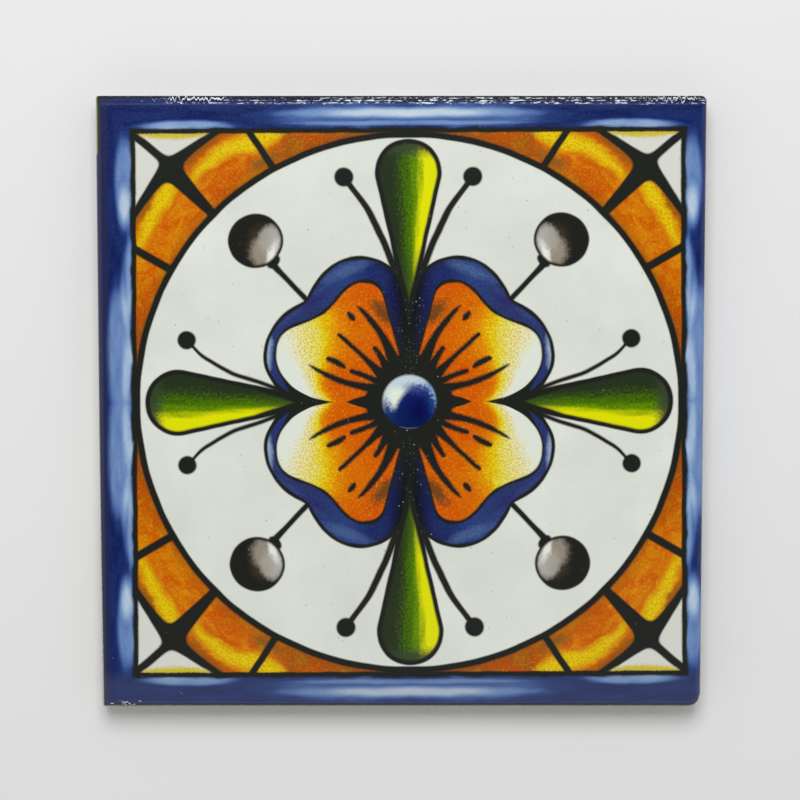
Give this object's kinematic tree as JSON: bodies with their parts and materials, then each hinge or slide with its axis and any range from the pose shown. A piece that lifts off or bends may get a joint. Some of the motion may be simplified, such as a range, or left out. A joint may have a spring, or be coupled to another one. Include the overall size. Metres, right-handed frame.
{
  "type": "mexican tile",
  "caption": "Square glazed ceramic wall tile with a rolled rim, keyed back and a painted folk flower in a ring of bricks inside a blue border.",
  "frame": {"origin": "middle of the flat back, which is the tile's bed, with the tile lying on its back", "axes": "+Z out of the painted face, +Y towards the top of the painted face, +X towards its right"},
  "size_m": [0.105, 0.106, 0.0065],
  "materials": {
    "painted_glaze": "clear gloss glaze over a painted flower, in cobalt blue, orange, yellow, green and black on white; bare pale biscuit on the back and low on the edges"
  },
  "bodies": {
    "root": {"glazed_tile": "painted_glaze"}
  },
  "joints": []
}
